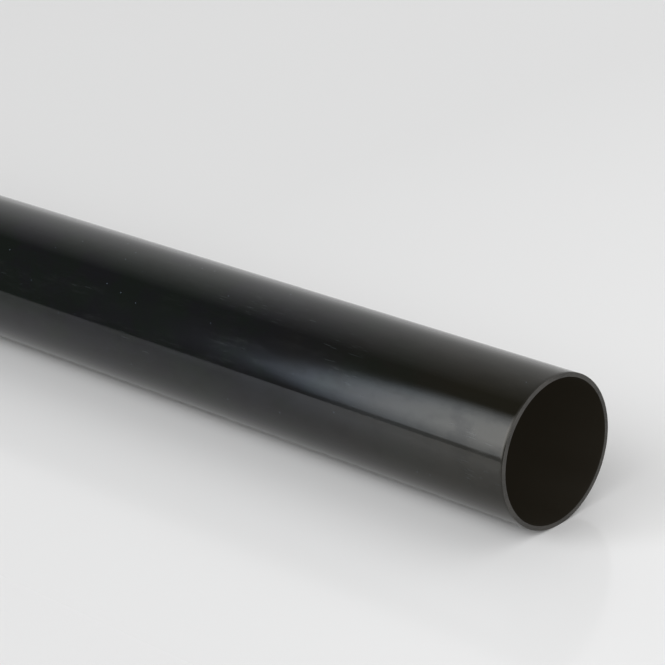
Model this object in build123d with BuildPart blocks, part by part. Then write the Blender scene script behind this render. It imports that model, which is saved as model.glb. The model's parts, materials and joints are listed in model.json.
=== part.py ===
from build123d import *

import os

# A plain-ended round rainwater downpipe, extruded in rigid PVC and sawn square to length.
# It lies on a level surface at z = 0, with its axis along X and the origin at mid-length.

# Driving sizes, in millimetres
length = 2500.0
outside_diameter = 68.0
wall = 2.0
outer_rim_chamfer = 0.2
bore_rim_chamfer = 0.1

# Sizes and places that follow from them
outside_radius = outside_diameter / 2
bore_radius = outside_radius - wall
axis_height = outside_radius
first_cut = Plane(origin=(-length / 2, 0, axis_height), x_dir=(0, 1, 0), z_dir=(1, 0, 0))

# The extruded length, with the saw's burr taken off the outer and bore rims at both ends
with BuildPart() as pipe:
    with BuildSketch(first_cut) as section:
        Circle(outside_radius)
        Circle(bore_radius, mode=Mode.SUBTRACT)
    extrude(amount=length)
    rims_by_radius = pipe.edges().filter_by(GeomType.CIRCLE).group_by(SortBy.RADIUS)
    outer_rims = rims_by_radius[-1]
    bore_rims = rims_by_radius[0]
    chamfer(outer_rims, length=outer_rim_chamfer)
    chamfer(bore_rims, length=bore_rim_chamfer)

pipe.part.label = "pipe"

os.makedirs("parts", exist_ok=True)
export_step(pipe.part, "parts/pipe.step")
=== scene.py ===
import json
from math import cos, pi, radians, sin
from random import Random

import bpy
from mathutils import Matrix, Vector


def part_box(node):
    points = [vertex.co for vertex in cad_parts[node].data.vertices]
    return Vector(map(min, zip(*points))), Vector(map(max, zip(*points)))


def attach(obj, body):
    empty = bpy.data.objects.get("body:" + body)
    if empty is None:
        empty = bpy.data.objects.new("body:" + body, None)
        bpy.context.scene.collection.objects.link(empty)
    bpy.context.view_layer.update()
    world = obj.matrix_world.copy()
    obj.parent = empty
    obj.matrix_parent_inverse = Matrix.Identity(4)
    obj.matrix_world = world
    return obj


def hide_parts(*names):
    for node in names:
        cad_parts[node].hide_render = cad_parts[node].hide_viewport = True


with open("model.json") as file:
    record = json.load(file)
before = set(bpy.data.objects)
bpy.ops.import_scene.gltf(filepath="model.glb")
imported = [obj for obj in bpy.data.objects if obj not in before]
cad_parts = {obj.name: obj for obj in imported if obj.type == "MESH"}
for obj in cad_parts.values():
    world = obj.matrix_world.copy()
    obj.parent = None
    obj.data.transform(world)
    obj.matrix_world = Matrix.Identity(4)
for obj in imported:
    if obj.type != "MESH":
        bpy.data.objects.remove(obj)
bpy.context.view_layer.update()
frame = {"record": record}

# Sizes taken from the frame, in metres
MM = 0.001
mounts = {mount["name"]: mount for mount in frame["record"]["mounts"]}
OUTSIDE_RADIUS = mounts["near_spigot"]["dims"]["r_mm"] * MM
BORE_RADIUS = mounts["waterway"]["dims"]["r_mm"] * MM
low_corner, high_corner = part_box("pipe")
LEFT_END, RIGHT_END = low_corner.x, high_corner.x
PIPE_LENGTH = RIGHT_END - LEFT_END
AXIS_HEIGHT = OUTSIDE_RADIUS

# The sawn ends: the burr is scraped off both rims by hand, so the scraped edge is a little uneven
OUTER_RIM_CHAMFER = (PIPE_LENGTH - mounts["near_spigot"]["dims"]["length_mm"] * MM) / 2
BORE_RIM_CHAMFER = (PIPE_LENGTH - mounts["waterway"]["dims"]["length_mm"] * MM) / 2
SCRAPE_UNEVENNESS = 0.35
SCRAPE_WAVES = (3, 5, 8, 13, 21, 34)
SCRAPE_WAVE_SIZES = (0.4, 1.0)
SCRAPE_SEED = 68

# How finely the pipe's mesh is divided
SIDES = 256
RIM_STEPS = 3
FACE_STEPS = 4
RING_SPACING = 0.05
FIRST_RING = 0.002
SHARP_EDGE_DEGREES = 38

# The plastic's marks: cycles per metre along the pipe and across it, so that most are drawn out
DIE_LINE_CYCLES = (2.0, 700.0)
WAVE_CYCLES = (5.0, 45.0)
SCUFF_CYCLES = (60.0, 420.0)
SMEAR_CYCLES = (22.0, 70.0)
SCRATCH_CYCLES = (110.0, 1700.0)
BLOTCH_CYCLES = (30.0, 45.0)
FILM_CYCLES = (70.0, 110.0)
BORE_DIE_LINE_CYCLES = (3.0, 500.0)
BORE_SMEAR_CYCLES = (25.0, 90.0)

# Where each mark begins and where it is full, as levels of its noise
SCRATCH_LEVELS = (0.67, 0.75)
SCRATCHED_SMEAR_LEVELS = (0.50, 0.62)
SCUFF_LEVELS = (0.46, 0.72)
WORN_SMEAR_LEVELS = (0.42, 0.62)
DULL_SMEAR_LEVELS = (0.3, 0.7)
BLOTCH_LEVELS = (0.40, 0.60)
FILM_LEVELS = (0.36, 0.56)

# How high the marks stand, in metres
WAVE_HEIGHT = 0.00006
DIE_LINE_HEIGHT = 0.000012
SCUFF_HEIGHT = 0.000008
BORE_DIE_LINE_HEIGHT = 0.00002

# Dust: grains of this radius in metres, on this share of the cells
DUST_CELLS_PER_METRE = 260.0
DUST_RADIUS = 0.00029
DUST_SHARE = 0.15
BORE_DUST_CELLS_PER_METRE = 200.0
BORE_DUST_RADIUS = 0.00030
BORE_DUST_SHARE = 0.12
DUST_CORE = 0.5

# The barrel's plastic: cooler at the left, warmer towards the open end, where a warm tint of the
# light is painted into its colour and gloss
BARREL_ROUGHNESS = 0.078
WORN_ROUGHNESS = 0.05
SMEAR_ROUGHNESS = 0.025
PLASTIC_IOR = 1.36
# Where the painted warm tint of the light near the open end begins and is full
PAINTED_WARM_LIGHT_X = (1.16, 1.31)
PAINTED_WARM_LIGHT_BLOTCH_SHIFT = 0.12
GREENISH_BLACK = (0.0002, 0.0030, 0.0034, 1.0)
BLUISH_BLACK = (0.0008, 0.0020, 0.0046, 1.0)
# The black under the painted warm light near the open end
BLACK_UNDER_PAINTED_WARM_LIGHT = (0.0036, 0.0038, 0.0026, 1.0)
WORN_BLACK = (0.0080, 0.0100, 0.0105, 1.0)
WORN_SHARE = 0.25
SCRATCH_COLOUR = (0.014, 0.018, 0.020, 1.0)
DUST_COLOUR = (0.11, 0.14, 0.175, 1.0)
GREENISH_GLOSS = (0.94, 0.98, 0.97, 1.0)
BLUISH_GLOSS = (0.91, 0.93, 1.0, 1.0)
# The gloss tint under the painted warm light near the open end
GLOSS_UNDER_PAINTED_WARM_LIGHT = (1.0, 0.98, 0.93, 1.0)
FILM_GREY = 0.72
FILM_SHARE = 0.7

# The bore's plastic
BORE_BLACK = (0.006, 0.0050, 0.0038, 1.0)
BORE_SMEAR_COLOUR = (0.010, 0.0085, 0.0062, 1.0)
BORE_DUST_COLOUR = (0.20, 0.17, 0.13, 1.0)
BORE_ROUGHNESS = (0.34, 0.46)

# The cut: the blade's arcs are circles round its centre, which is above and behind the pipe
BLADE_CENTRE = (0.0, 0.09, 0.19)
ARC_RADIANS_PER_METRE = 9000.0
ARC_WANDER = 7.0
ARC_SHARE = 0.25
CUT_GRAIN_CYCLES = (600.0, 600.0)
CUT_STAIN_CYCLES = (0.0, 75.0)
CUT_TEAR_LEVELS = (0.25, 0.85)
CUT_STAIN_LEVELS = (0.35, 0.65)
CUT_STAIN_SHARE = 0.4
CUT_DARK = (0.016, 0.016, 0.015, 1.0)
CUT_LIGHT = (0.050, 0.049, 0.046, 1.0)
CUT_STAIN_COLOUR = (0.066, 0.062, 0.056, 1.0)
CUT_ROUGHNESS = 0.62
CUT_IOR = 1.45
CUT_TEAR_HEIGHT = 0.00004

# The camera: where it looks from, and where the open end's centre is in its view
LENS = 138.70
SENSOR = 36.0
CAMERA_REACH = 200
CAMERA_RIGHT = Vector((0.7119, 0.6998, -0.0593))
CAMERA_DOWN = Vector((0.2279, -0.3100, -0.9230))
END_RIGHT_OF_VIEW = 0.09268
END_BELOW_VIEW = 0.04939
END_AHEAD = 1.06096

# The stage: a white table whose edge is in front of the pipe, a little askew, and a floor beyond
# that edge. Behind the pipe the tone changes by these shares, from the left to the right: painted
# shade at the left and a little painted light at the right, behind the open end.
TABLE_EDGE = ((0.70, -0.26), (0.97, -0.36))
FLOOR_REACH = 60.0
# The floor's tone rises from the far left to the open end: a painted pool of light round the open
# end
FLOOR_TONE_FAR_PAINTED_SHADE = 0.755
FLOOR_TONE_NEAR_PAINTED_LIGHT = 0.825
FLOOR_FAR_X = 0.35
FLOOR_NEAR_X = 1.35
FLOOR_FRONT_Y = (-0.22, -0.08)
# Painted shade: the share of the tone left at the front of the table
FLOOR_FRONT_PAINTED_SHADE = 0.965
FLOOR_BACK_Y = (0.0, 0.10)
FLOOR_BACK_X = (0.85, 1.30)
FLOOR_BACK_PAINTED_SHADE_AND_LIGHT = (-0.105, 0.015)
FLOOR_ROUGHNESS = 0.12
FLOOR_FRONT_ROUGHNESS = 0.32
FLOOR_IOR = 1.3

# The studio's light, by direction. A turn is how far round the pipe's axis a direction lies, in
# degrees: 0 is level and behind the pipe, 90 is overhead and 180 is level and in front. X and Y
# are the direction's own, and a pair of them says where a light fades in or out.
SWEEP_GLOW = 0.72
SWEEP_FOOT_GLOW = 0.14
SWEEP_FOOT_TURN = 25.0
SWEEP_FULL_TURN = 45.0
SWEEP_END_TURN = 101.0
SWEEP_ROUNDING = 1.5
SWEEP_RIGHT_GAIN = 1.05
SWEEP_GAIN_X = (-0.60, -0.20)
FILL_GLOW = 2.74
FILL_TOP_GLOW = 0.32
FILL_BACK_TURNS = (45.0, 62.0)
FILL_FRONT_TURNS = (95.0, 145.0)
FILL_FOOT_TURNS = (147.0, 168.0)
FILL_X = (-0.55, -0.40)
AMBIENT_GLOW = 0.02
BACKDROP_GLOW = 0.78

# The softbox's edge and heights are slopes: how far to the right, or up, for each step ahead
SOFTBOX_GLOW = 6.7
SOFTBOX_LEAN = 0.173
SOFTBOX_BOW = 0.144
SOFTBOX_LEFT = -0.905
SOFTBOX_SWELL = 0.070
SOFTBOX_FOOT = -0.03
SOFTBOX_FOOT_SHARE = 0.55
SOFTBOX_FULL_HEIGHT = 0.3
SOFTBOX_TOP = (0.75, 1.95)
SOFTBOX_FRONT_Y = (-0.1, 0.0)
SOFTBOX_EDGE_COLOUR = (0.74, 0.97, 1.25, 1.0)
SPILL_GLOW = 1.1
SPILL_SPREAD = 0.3
LEAST_AHEAD = 0.001

# The camera's blacks are lifted a little, warmly, by stray light in its lens
LENS_FLARE = (0.0076, 0.0064, 0.0044)


class Nodes:
    """Adds shader nodes to one node tree, so that a material reads as a short recipe."""

    def __init__(self, tree):
        self.tree = tree
        self.tree.nodes.clear()

    def new(self, kind, **settings):
        node = self.tree.nodes.new(kind)
        for name, value in settings.items():
            setattr(node, name, value)
        return node

    def put(self, socket, value):
        """Links a node's output to a socket, or sets the socket to a plain value."""
        if isinstance(value, bpy.types.NodeSocket):
            self.tree.links.new(value, socket)
        elif value is not None:
            socket.default_value = value

    def math(self, operation, a, b=None, c=None):
        node = self.new("ShaderNodeMath", operation=operation)
        self.put(node.inputs[0], a)
        self.put(node.inputs[1], b)
        self.put(node.inputs[2], c)
        return node.outputs[0]

    def ramp(self, value, start, end, low=0.0, high=1.0, kind="LINEAR"):
        """Goes from low to high as value goes from start to end, and stays level outside them."""
        node = self.new("ShaderNodeMapRange", interpolation_type=kind)
        self.put(node.inputs["Value"], value)
        self.put(node.inputs["From Min"], start)
        self.put(node.inputs["From Max"], end)
        self.put(node.inputs["To Min"], low)
        self.put(node.inputs["To Max"], high)
        return node.outputs[0]

    def ease(self, value, start, end, low=0.0, high=1.0):
        """The same as ramp, with a soft start and a soft end."""
        return self.ramp(value, start, end, low, high, kind="SMOOTHSTEP")

    def times(self, *values):
        product = values[0]
        for value in values[1:]:
            product = self.math("MULTIPLY", product, value)
        return product

    def plus(self, *values):
        total = values[0]
        for value in values[1:]:
            total = self.math("ADD", total, value)
        return total

    def mix_number(self, share, first, second):
        """Sockets 2 and 3 of a Mix node take its plain numbers."""
        node = self.new("ShaderNodeMix", data_type="FLOAT")
        self.put(node.inputs[0], share)
        self.put(node.inputs[2], first)
        self.put(node.inputs[3], second)
        return node.outputs[0]

    def mix_colour(self, share, first, second):
        """Sockets 6 and 7 of a Mix node take its colours, and its output 2 gives the mix."""
        node = self.new("ShaderNodeMix", data_type="RGBA")
        self.put(node.inputs[0], share)
        self.put(node.inputs[6], first)
        self.put(node.inputs[7], second)
        return node.outputs[2]

    def place(self):
        return self.new("ShaderNodeTexCoord").outputs["Object"]

    def split(self, vector):
        """The three parts of a vector."""
        node = self.new("ShaderNodeSeparateXYZ")
        self.put(node.inputs[0], vector)
        return node.outputs

    def scaled(self, place, along, across):
        """The place with its own scale along the pipe's axis, so that noise can be drawn out."""
        node = self.new("ShaderNodeVectorMath", operation="MULTIPLY")
        self.put(node.inputs[0], place)
        self.put(node.inputs[1], (along, across, across))
        return node.outputs[0]

    def noise(self, place, cycles, detail=2.0, rough=0.5):
        """Noise with so many cycles per metre along the pipe and across it."""
        node = self.new("ShaderNodeTexNoise")
        self.put(node.inputs["Vector"], self.scaled(place, *cycles))
        self.put(node.inputs["Scale"], 1.0)
        self.put(node.inputs["Detail"], detail)
        self.put(node.inputs["Roughness"], rough)
        return node.outputs["Fac"]

    def bump(self, height, distance, onto=None):
        node = self.new("ShaderNodeBump")
        self.put(node.inputs["Height"], height)
        self.put(node.inputs["Distance"], distance)
        self.put(node.inputs["Normal"], onto)
        return node.outputs["Normal"]

    def background(self, colour, glow):
        node = self.new("ShaderNodeBackground")
        self.put(node.inputs["Color"], colour)
        self.put(node.inputs["Strength"], glow)
        return node.outputs[0]


def new_material(name):
    material = bpy.data.materials.new(name)
    material.use_nodes = True
    return material, Nodes(material.node_tree)


def grey(level):
    return (level, level, level, 1.0)


def finish_principled(nodes, **sockets):
    """Adds the Principled shader and the output, with each named socket set or linked."""
    shader = nodes.new("ShaderNodeBsdfPrincipled")
    for name, value in sockets.items():
        nodes.put(shader.inputs[name.replace("_", " ")], value)
    output = nodes.new("ShaderNodeOutputMaterial")
    nodes.put(output.inputs["Surface"], shader.outputs["BSDF"])


def dust_specks(nodes, place, cells_per_metre, radius, share):
    """Small bright grains of dust: 1 on a grain and 0 elsewhere."""
    voronoi = nodes.new("ShaderNodeTexVoronoi")
    nodes.put(voronoi.inputs["Vector"], place)
    nodes.put(voronoi.inputs["Scale"], cells_per_metre)
    reach = radius * cells_per_metre
    grain = nodes.ease(voronoi.outputs["Distance"], reach * DUST_CORE, reach, 1.0, 0.0)
    draw = nodes.new("ShaderNodeSeparateColor")
    nodes.put(draw.inputs[0], voronoi.outputs["Color"])
    chosen = nodes.math("LESS_THAN", draw.outputs[0], share)
    return nodes.times(grain, chosen)


def extruded_plastic():
    """The barrel: smooth black PVC with faint die lines and waves, scuffs, scratches and dust.

    Its colour and the tint of its gloss go from cool, in greenish and bluish blotches, to warm
    near the open end, where a warm tint of the light is painted in.
    """
    material, nodes = new_material("extruded_black_pvc")
    place = nodes.place()
    die_lines = nodes.noise(place, DIE_LINE_CYCLES, detail=3.0)
    waves = nodes.noise(place, WAVE_CYCLES, detail=1.0)
    scuffs = nodes.noise(place, SCUFF_CYCLES, detail=4.0, rough=0.65)
    smears = nodes.noise(place, SMEAR_CYCLES, detail=5.0, rough=0.6)
    blotches = nodes.noise(place, BLOTCH_CYCLES, detail=4.0, rough=0.6)
    film = nodes.noise(place, FILM_CYCLES, detail=5.0, rough=0.65)
    scratches = nodes.ease(nodes.noise(place, SCRATCH_CYCLES, detail=1.0), *SCRATCH_LEVELS)
    dust = dust_specks(nodes, place, DUST_CELLS_PER_METRE, DUST_RADIUS, DUST_SHARE)

    worn = nodes.times(nodes.ease(scuffs, *SCUFF_LEVELS), nodes.ease(smears, *WORN_SMEAR_LEVELS))
    scratched = nodes.times(scratches, nodes.ease(smears, *SCRATCHED_SMEAR_LEVELS))
    bluish = nodes.ease(blotches, *BLOTCH_LEVELS)
    along = nodes.split(place)[0]
    # Painted warm light: the colour and the gloss tint turn warm near the open end
    painted_warm_light = nodes.ease(nodes.plus(along, nodes.times(blotches, PAINTED_WARM_LIGHT_BLOTCH_SHIFT)), *PAINTED_WARM_LIGHT_X)

    shade = nodes.mix_colour(bluish, GREENISH_BLACK, BLUISH_BLACK)
    shade = nodes.mix_colour(painted_warm_light, shade, BLACK_UNDER_PAINTED_WARM_LIGHT)
    shade = nodes.mix_colour(nodes.times(worn, WORN_SHARE), shade, WORN_BLACK)
    shade = nodes.mix_colour(scratched, shade, SCRATCH_COLOUR)
    colour = nodes.mix_colour(dust, shade, DUST_COLOUR)

    tint = nodes.mix_colour(bluish, GREENISH_GLOSS, BLUISH_GLOSS)
    tint = nodes.mix_colour(painted_warm_light, tint, GLOSS_UNDER_PAINTED_WARM_LIGHT)
    filmed = nodes.mix_colour(FILM_SHARE, tint, grey(FILM_GREY))
    tint = nodes.mix_colour(nodes.ease(film, *FILM_LEVELS), filmed, tint)

    dulled = nodes.ramp(smears, *DULL_SMEAR_LEVELS, 0.0, SMEAR_ROUGHNESS)
    roughness = nodes.plus(BARREL_ROUGHNESS, nodes.times(worn, WORN_ROUGHNESS), dulled)
    relief = nodes.bump(waves, WAVE_HEIGHT)
    relief = nodes.bump(die_lines, DIE_LINE_HEIGHT, relief)
    relief = nodes.bump(scuffs, SCUFF_HEIGHT, relief)
    finish_principled(
        nodes,
        Base_Color=colour,
        Roughness=roughness,
        IOR=PLASTIC_IOR,
        Specular_Tint=tint,
        Normal=relief,
    )
    return material


def bore_plastic():
    """The bore: the same plastic, duller, with the die's lines along it and some dust."""
    material, nodes = new_material("bore_black_pvc")
    place = nodes.place()
    die_lines = nodes.noise(place, BORE_DIE_LINE_CYCLES, detail=3.0)
    smears = nodes.noise(place, BORE_SMEAR_CYCLES, detail=3.0)
    dust = dust_specks(nodes, place, BORE_DUST_CELLS_PER_METRE, BORE_DUST_RADIUS, BORE_DUST_SHARE)
    shade = nodes.mix_colour(smears, BORE_BLACK, BORE_SMEAR_COLOUR)
    finish_principled(
        nodes,
        Base_Color=nodes.mix_colour(dust, shade, BORE_DUST_COLOUR),
        Roughness=nodes.ramp(smears, *DULL_SMEAR_LEVELS, *BORE_ROUGHNESS),
        IOR=PLASTIC_IOR,
        Normal=nodes.bump(die_lines, BORE_DIE_LINE_HEIGHT),
    )
    return material


def sawn_plastic():
    """The cut: grey where the saw has torn the black plastic, with the blade's arcs across it."""
    material, nodes = new_material("sawn_black_pvc")
    place = nodes.place()
    blade = nodes.new("ShaderNodeVectorMath", operation="DISTANCE")
    nodes.put(blade.inputs[0], nodes.scaled(place, 0.0, 1.0))
    nodes.put(blade.inputs[1], BLADE_CENTRE)
    grain = nodes.noise(place, CUT_GRAIN_CYCLES, detail=3.0, rough=0.6)
    from_blade = nodes.times(blade.outputs["Value"], ARC_RADIANS_PER_METRE)
    arcs = nodes.math("SINE", nodes.plus(from_blade, nodes.times(grain, ARC_WANDER)))
    tears = nodes.plus(nodes.times(arcs, ARC_SHARE), grain)
    stains = nodes.ease(nodes.noise(place, CUT_STAIN_CYCLES, detail=3.0), *CUT_STAIN_LEVELS)
    colour = nodes.mix_colour(nodes.ramp(tears, *CUT_TEAR_LEVELS), CUT_DARK, CUT_LIGHT)
    colour = nodes.mix_colour(nodes.times(stains, CUT_STAIN_SHARE), colour, CUT_STAIN_COLOUR)
    finish_principled(
        nodes,
        Base_Color=colour,
        Roughness=CUT_ROUGHNESS,
        IOR=CUT_IOR,
        Normal=nodes.bump(tears, CUT_TEAR_HEIGHT),
    )
    return material


def pale_floor_with_painted_light():
    """A white acrylic sheet, brighter towards the pipe's open end, a painted pool of light, and
    duller and darker towards the front, where shade is painted in.

    Behind the pipe it is darker at the left, painted shade, and a little brighter at the right,
    painted light.
    """
    material, nodes = new_material("white_acrylic_floor_painted_light")
    x, y, _ = nodes.split(nodes.place())
    # Painted pool of light: the tone rises towards the pipe's open end
    tone = nodes.ramp(x, FLOOR_FAR_X, FLOOR_NEAR_X, FLOOR_TONE_FAR_PAINTED_SHADE, FLOOR_TONE_NEAR_PAINTED_LIGHT)
    # Painted shade behind the pipe at the left, and a little painted light behind the open end
    behind = nodes.ease(y, *FLOOR_BACK_Y)
    painted_back_shade_and_light = nodes.times(behind, nodes.ramp(x, *FLOOR_BACK_X, *FLOOR_BACK_PAINTED_SHADE_AND_LIGHT))
    tone = nodes.times(tone, nodes.plus(painted_back_shade_and_light, 1.0))
    # Painted shade: the tone falls a little towards the front of the table
    tone = nodes.times(tone, nodes.ease(y, *FLOOR_FRONT_Y, FLOOR_FRONT_PAINTED_SHADE, 1.0))
    roughness = nodes.ease(y, *FLOOR_FRONT_Y, FLOOR_FRONT_ROUGHNESS, FLOOR_ROUGHNESS)
    colour = nodes.new("ShaderNodeCombineColor")
    for socket in colour.inputs[:3]:
        nodes.put(socket, tone)
    finish_principled(nodes, Base_Color=colour.outputs[0], Roughness=roughness, IOR=FLOOR_IOR)
    return material


def uneven_scrape(random):
    """How deep the scraper went at each side of the rim, as a share of the usual depth."""
    waves = [
        (count, random.uniform(0, 2 * pi), random.uniform(*SCRAPE_WAVE_SIZES))
        for count in SCRAPE_WAVES
    ]
    total = sum(size for count, phase, size in waves)
    depths = []
    for side in range(SIDES):
        turn = 2 * pi * side / SIDES
        wave = sum(size * sin(count * turn + phase) for count, phase, size in waves) / total
        depths.append(1 + SCRAPE_UNEVENNESS * wave)
    return depths


def end_rings(random):
    """The rings round one end, from the bore over the sawn face to the outside.

    A ring is a list of (distance from the end, radius), one for each side. The rims are
    quarter rounds of the scraped depth.
    """
    inner_scrape = [BORE_RIM_CHAMFER * depth for depth in uneven_scrape(random)]
    outer_scrape = [OUTER_RIM_CHAMFER * depth for depth in uneven_scrape(random)]
    rim_turns = [pi / 2 * step / RIM_STEPS for step in range(RIM_STEPS + 1)]
    rings = []
    for turn in rim_turns:
        back, out = 1 - sin(turn), 1 - cos(turn)
        rings.append([(size * back, BORE_RADIUS + size * out) for size in inner_scrape])
    for step in range(1, FACE_STEPS):
        share = step / FACE_STEPS
        rings.append([
            (0.0, (BORE_RADIUS + inner) * (1 - share) + (OUTSIDE_RADIUS - outer) * share)
            for inner, outer in zip(inner_scrape, outer_scrape)
        ])
    for turn in rim_turns:
        back, inside = 1 - cos(turn), 1 - sin(turn)
        rings.append([(size * back, OUTSIDE_RADIUS - size * inside) for size in outer_scrape])
    return rings


def ring_places():
    """Where the rings of the long walls are along the pipe, from the left to the right."""
    count = round((PIPE_LENGTH - 2 * FIRST_RING) / RING_SPACING)
    start, end = LEFT_END + FIRST_RING, RIGHT_END - FIRST_RING
    return [start + (end - start) * step / count for step in range(count + 1)]


def build_pipe():
    """The whole pipe as one closed mesh: its wall's section turned about the pipe's axis.

    The rings go from the bore's rim at the right end, over the outside and the left end, and
    back through the bore. Each ring has the material of the strip of faces that follows it.
    """
    random = Random(SCRAPE_SEED)
    outer, bore, sawn = 0, 1, 2
    rings, strip_materials = [], []
    right_end = [[(RIGHT_END - back, radius) for back, radius in ring] for ring in end_rings(random)]
    left_end = [[(LEFT_END + back, radius) for back, radius in ring] for ring in end_rings(random)]
    rings += right_end
    strip_materials += [sawn] * (len(right_end) - 1) + [outer]
    outer_wall = [[(x, OUTSIDE_RADIUS)] * SIDES for x in reversed(ring_places())]
    rings += outer_wall
    strip_materials += [outer] * len(outer_wall)
    rings += reversed(left_end)
    strip_materials += [sawn] * (len(left_end) - 1) + [bore]
    bore_wall = [[(x, BORE_RADIUS)] * SIDES for x in ring_places()]
    rings += bore_wall
    strip_materials += [bore] * len(bore_wall)

    vertices, faces, face_materials = [], [], []
    for ring in rings:
        for side, (x, radius) in enumerate(ring):
            turn = 2 * pi * side / SIDES
            vertices.append((x, radius * cos(turn), AXIS_HEIGHT + radius * sin(turn)))
    for step, material in enumerate(strip_materials):
        here, following = step * SIDES, (step + 1) % len(rings) * SIDES
        for side in range(SIDES):
            beside = (side + 1) % SIDES
            faces.append((here + side, here + beside, following + beside, following + side))
            face_materials.append(material)
    mesh = bpy.data.meshes.new("pipe_visual")
    mesh.from_pydata(vertices, [], faces)
    mesh.validate()
    mesh.polygons.foreach_set("material_index", face_materials)
    mesh.shade_smooth()
    mesh.set_sharp_from_angle(angle=radians(SHARP_EDGE_DEGREES))
    for material in (extruded_plastic(), bore_plastic(), sawn_plastic()):
        mesh.materials.append(material)
    piece = bpy.data.objects.new("downpipe", mesh)
    bpy.context.scene.collection.objects.link(piece)
    return piece


def floor_piece(name, outline, material):
    mesh = bpy.data.meshes.new(name)
    mesh.from_pydata([(x, y, 0) for x, y in outline], [], [tuple(range(len(outline)))])
    mesh.materials.append(material)
    piece = bpy.data.objects.new(name, mesh)
    bpy.context.scene.collection.objects.link(piece)
    return piece


def build_floor():
    """The table, and a floor in front that keeps other views pale but isn't in the gloss."""
    material = pale_floor_with_painted_light()
    (left_x, left_y), (right_x, right_y) = TABLE_EDGE
    edge = [(-FLOOR_REACH, left_y), (left_x, left_y), (right_x, right_y), (FLOOR_REACH, right_y)]
    back_corners = [(FLOOR_REACH, FLOOR_REACH), (-FLOOR_REACH, FLOOR_REACH)]
    floor_piece("table", edge + back_corners, material)
    front_corners = [(-FLOOR_REACH, -FLOOR_REACH), (FLOOR_REACH, -FLOOR_REACH)]
    front = floor_piece("floor_in_front", front_corners + edge[::-1], material)
    front.visible_glossy = False


def sweep_glow(nodes, turn, x):
    """The white sweep behind the table, full up to a height and then fading."""
    dimming = nodes.math("POWER", nodes.ramp(turn, SWEEP_FULL_TURN, SWEEP_END_TURN), SWEEP_ROUNDING)
    glow = nodes.ramp(dimming, 0.0, 1.0, SWEEP_GLOW, 0.0)
    foot_glow = nodes.ease(turn, 0.0, SWEEP_FOOT_TURN, SWEEP_FOOT_GLOW, 0.0)
    gain = nodes.ease(x, *SWEEP_GAIN_X, 1.0, SWEEP_RIGHT_GAIN)
    return nodes.times(nodes.plus(glow, foot_glow), gain)


def fill_glow(nodes, turn, x):
    """The wide light overhead and in front, brightest well above eye level and dark at its foot."""
    top = nodes.ease(turn, *FILL_BACK_TURNS, 0.0, FILL_TOP_GLOW)
    front = nodes.ease(turn, *FILL_FRONT_TURNS, 0.0, FILL_GLOW - FILL_TOP_GLOW)
    foot = nodes.ease(turn, *FILL_FOOT_TURNS, 1.0, 0.0)
    return nodes.times(nodes.plus(top, front), foot, nodes.ease(x, *FILL_X))


def softbox_glow(nodes, x, y, z):
    """A softbox in front at the left, with a leaning, slightly bowed edge.

    Under the softbox's foot a little of its light spills onto whatever is there. Also gives
    how far inward from its edge a direction is, from 0 to 1.
    """
    ahead = nodes.math("MAXIMUM", nodes.math("MULTIPLY", y, -1.0), LEAST_AHEAD)
    right = nodes.math("DIVIDE", x, ahead)
    up = nodes.math("DIVIDE", z, ahead)
    lean = nodes.times(up, nodes.math("MULTIPLY_ADD", up, SOFTBOX_BOW, SOFTBOX_LEAN))
    depth = nodes.math("SUBTRACT", nodes.plus(right, lean), SOFTBOX_LEFT)
    fading = nodes.times(nodes.math("MAXIMUM", depth, 0.0), -1 / SOFTBOX_SWELL)
    inward = nodes.math("SUBTRACT", 1.0, nodes.math("EXPONENT", fading))
    foot_glow = SOFTBOX_FOOT_SHARE * SOFTBOX_GLOW
    box = nodes.times(
        nodes.ramp(up, SOFTBOX_FOOT, SOFTBOX_FULL_HEIGHT, foot_glow, SOFTBOX_GLOW),
        nodes.ease(up, *SOFTBOX_TOP, 1.0, 0.0),
        nodes.ease(x, *FILL_X, 1.0, 0.0),
    )
    spill = nodes.math("DIVIDE", SPILL_GLOW, nodes.plus(inward, SPILL_SPREAD))
    above_foot = nodes.math("GREATER_THAN", up, SOFTBOX_FOOT)
    glow = nodes.times(
        inward,
        nodes.mix_number(above_foot, spill, box),
        nodes.ease(y, *SOFTBOX_FRONT_Y, 1.0, 0.0),
    )
    return glow, inward


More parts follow.
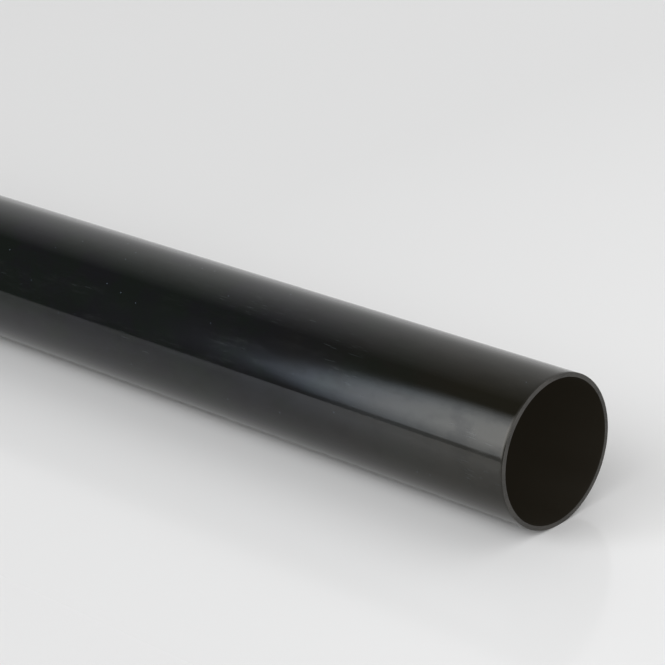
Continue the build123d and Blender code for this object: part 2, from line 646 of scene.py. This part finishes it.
def build_world():
    """The studio round the table, as brightness by direction, before a plain pale backdrop.

    The backdrop is only what the camera sees past the floor, and gives no light.
    """
    world = bpy.data.worlds.new("studio")
    bpy.context.scene.world = world
    world.use_nodes = True
    nodes = Nodes(world.node_tree)
    x, y, z = nodes.split(nodes.new("ShaderNodeTexCoord").outputs["Generated"])
    turn = nodes.math("MULTIPLY", nodes.math("ARCTAN2", z, y), 180 / pi)
    over_horizon = nodes.math("GREATER_THAN", z, 0.0)
    wide_light = nodes.plus(sweep_glow(nodes, turn, x), fill_glow(nodes, turn, x))
    softbox, inward = softbox_glow(nodes, x, y, z)
    glow = nodes.plus(nodes.times(over_horizon, wide_light), softbox, AMBIENT_GLOW)
    box_colour = nodes.mix_colour(inward, SOFTBOX_EDGE_COLOUR, grey(1.0))
    in_box = nodes.math("GREATER_THAN", softbox, 0.0)
    colour = nodes.mix_colour(in_box, grey(1.0), box_colour)
    seen_directly = nodes.new("ShaderNodeLightPath").outputs["Is Camera Ray"]
    either = nodes.new("ShaderNodeMixShader")
    nodes.put(either.inputs[0], seen_directly)
    nodes.put(either.inputs[1], nodes.background(colour, glow))
    nodes.put(either.inputs[2], nodes.background(grey(1.0), BACKDROP_GLOW))
    output = nodes.new("ShaderNodeOutputWorld")
    nodes.put(output.inputs["Surface"], either.outputs[0])


def build_camera():
    right = CAMERA_RIGHT.normalized()
    ahead = right.cross(CAMERA_DOWN).normalized()
    up = right.cross(ahead)
    end_centre = Vector((RIGHT_END, 0, AXIS_HEIGHT))
    place = end_centre - right * END_RIGHT_OF_VIEW + up * END_BELOW_VIEW - ahead * END_AHEAD
    data = bpy.data.cameras.new("camera")
    data.lens = LENS
    data.sensor_width = SENSOR
    data.clip_end = CAMERA_REACH
    camera = bpy.data.objects.new("camera", data)
    axes = Matrix((right, up, -ahead)).transposed().to_4x4()
    camera.matrix_world = Matrix.Translation(place) @ axes
    bpy.context.scene.collection.objects.link(camera)
    bpy.context.scene.camera = camera


def set_up_view():
    """Plain tones, with the blacks lifted by the lens flare."""
    view = bpy.context.scene.view_settings
    view.view_transform = "Standard"
    view.use_curve_mapping = True
    for curve, level in zip(view.curve_mapping.curves, LENS_FLARE):
        curve.points[0].location = (0.0, level)
    view.curve_mapping.update()


pipe = build_pipe()
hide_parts("pipe")
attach(pipe, "root")
build_floor()
build_world()
build_camera()
set_up_view()
